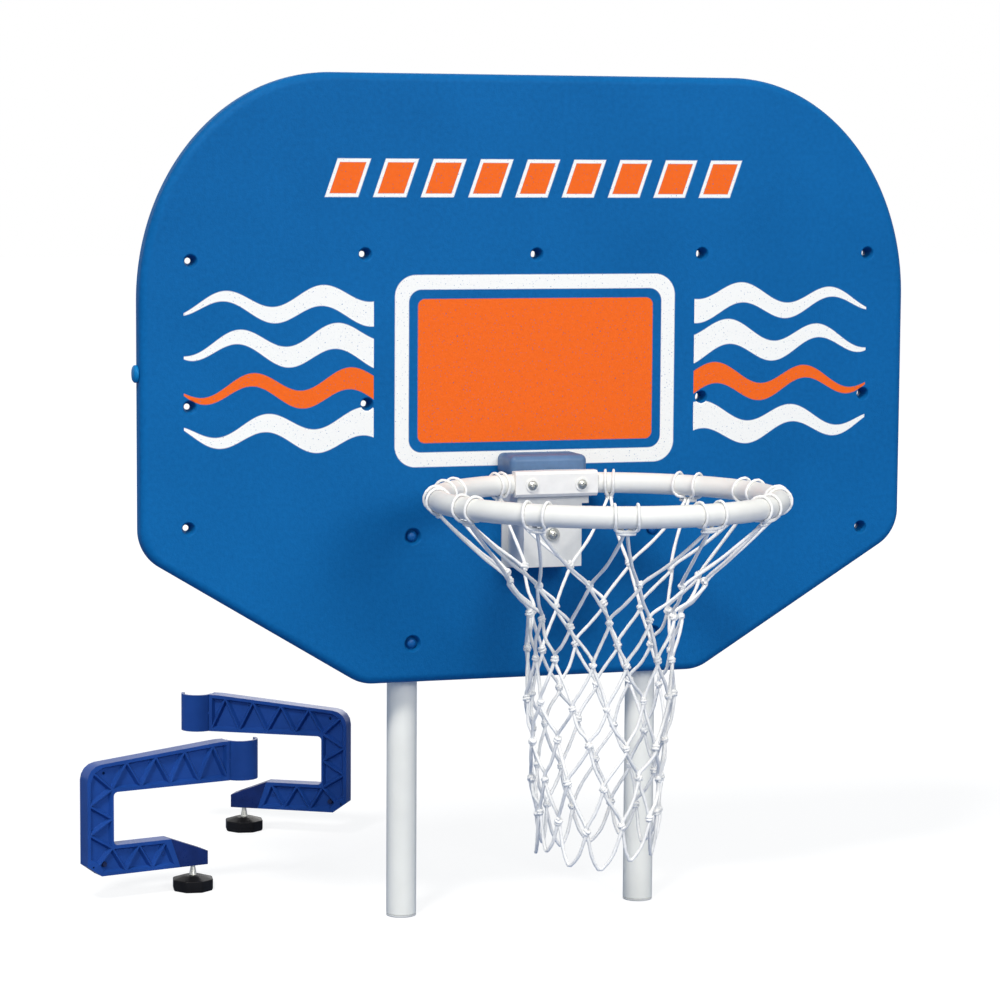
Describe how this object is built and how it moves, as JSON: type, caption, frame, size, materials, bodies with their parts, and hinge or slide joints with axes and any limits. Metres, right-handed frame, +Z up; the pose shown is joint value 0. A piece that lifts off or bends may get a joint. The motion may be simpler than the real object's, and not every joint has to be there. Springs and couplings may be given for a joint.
{
  "type": "poolside basketball hoop",
  "caption": "Poolside basketball hoop: moulded backboard on tube posts, tube rim with a corded net, and separate screw-clamp deck brackets.",
  "frame": {"origin": "on the level of the posts' feet, under the middle of the backboard's front face", "axes": "+Z up along the posts; +Y from the playing side through the board to its back; +X to the right as a player sees the board"},
  "size_m": [1.1506, 1.2722, 1.176],
  "materials": {
    "board": "pebbled moulded polyethylene, satin",
    "plug": "smooth satin",
    "hood": "glossy moulded",
    "standoff": "satin moulded",
    "rim": "white powder coat",
    "post": "off-white powder coat",
    "cap": "off-white moulded",
    "cord": "braided cord",
    "bracket": "satin moulded",
    "jaw": "satin moulded",
    "knob": "satin black",
    "pad": "black rubber",
    "steel": "stainless steel",
    "white_washer": "white plastic"
  },
  "bodies": {
    "hoop": {"backboard": "board", "rim_hood": "hood", "rim_bracket": "standoff", "rim_collar": "standoff", "rim_ring": "rim", "rim_back_plate": "steel", "rim_bolt_left": "steel", "rim_washer_left": "white_washer", "rim_nut_left": "steel", "rim_bolt_right": "steel", "rim_washer_right": "white_washer", "rim_nut_right": "steel", "rim_bolt_lower": "steel", "rim_washer_lower": "steel", "rim_nut_lower": "steel", "post_left": "post", "post_foot_cap_left": "cap", "post_top_cap_left": "cap", "post_right": "post", "post_foot_cap_right": "cap", "post_top_cap_right": "cap", "post_bolt_left_low": "steel", "post_washer_left_low": "steel", "post_nut_left_low": "steel", "post_bolt_left_high": "steel", "post_washer_left_high": "steel", "post_nut_left_high": "steel", "post_bolt_right_low": "steel", "post_washer_right_low": "steel", "post_nut_right_low": "steel", "post_bolt_right_high": "steel", "post_washer_right_high": "steel", "post_nut_right_high": "steel", "net": "cord"},
    "plug": {"edge_plug": "plug"},
    "bracket_a": {"bracket_a_arm": "bracket", "bracket_a_jaw": "jaw", "bracket_a_jaw_pin": "steel", "bracket_a_corner_screw": "steel", "bracket_a_nut": "steel"},
    "bracket_a_pad_end": {"bracket_a_pad": "pad"},
    "bracket_a_screw": {"bracket_a_stud": "steel", "bracket_a_knob": "knob"},
    "bracket_b": {"bracket_b_arm": "bracket", "bracket_b_jaw": "jaw", "bracket_b_jaw_pin": "steel", "bracket_b_corner_screw": "steel", "bracket_b_nut": "steel"},
    "bracket_b_pad_end": {"bracket_b_pad": "pad"},
    "bracket_b_screw": {"bracket_b_stud": "steel", "bracket_b_knob": "knob"}
  },
  "joints": [
    {"name": "plug_pull", "type": "slide", "parent": "hoop", "child": "plug", "axis": [-1, 0, 0], "range_m": [0, 0.03]},
    {"name": "bracket_a_lift", "type": "slide", "parent": "hoop", "child": "bracket_a", "axis": [0, 0, 1], "range_m": [0, 0.4]},
    {"name": "bracket_a_clamp", "type": "slide", "parent": "bracket_a", "child": "bracket_a_pad_end", "axis": [0, 0, 1], "range_m": [0, 0.01]},
    {"name": "bracket_a_knob_turn", "type": "hinge", "parent": "bracket_a_pad_end", "child": "bracket_a_screw", "pos_m": [-0.421, 0.294, 0], "axis": [0, 0, 1], "range_deg": [0, 3600]},
    {"name": "bracket_b_lift", "type": "slide", "parent": "hoop", "child": "bracket_b", "axis": [0, 0, 1], "range_m": [0, 0.4]},
    {"name": "bracket_b_clamp", "type": "slide", "parent": "bracket_b", "child": "bracket_b_pad_end", "axis": [0, 0, 1], "range_m": [0, 0.01]},
    {"name": "bracket_b_knob_turn", "type": "hinge", "parent": "bracket_b_pad_end", "child": "bracket_b_screw", "pos_m": [-0.245, 0.689, 0], "axis": [0, 0, 1], "range_deg": [0, 3600]}
  ],
  "couplings": [
    {"joint": "bracket_a_clamp", "follows": "bracket_a_knob_turn", "m_per_rad": 0.00015915},
    {"joint": "bracket_b_clamp", "follows": "bracket_b_knob_turn", "m_per_rad": 0.00015915}
  ]
}
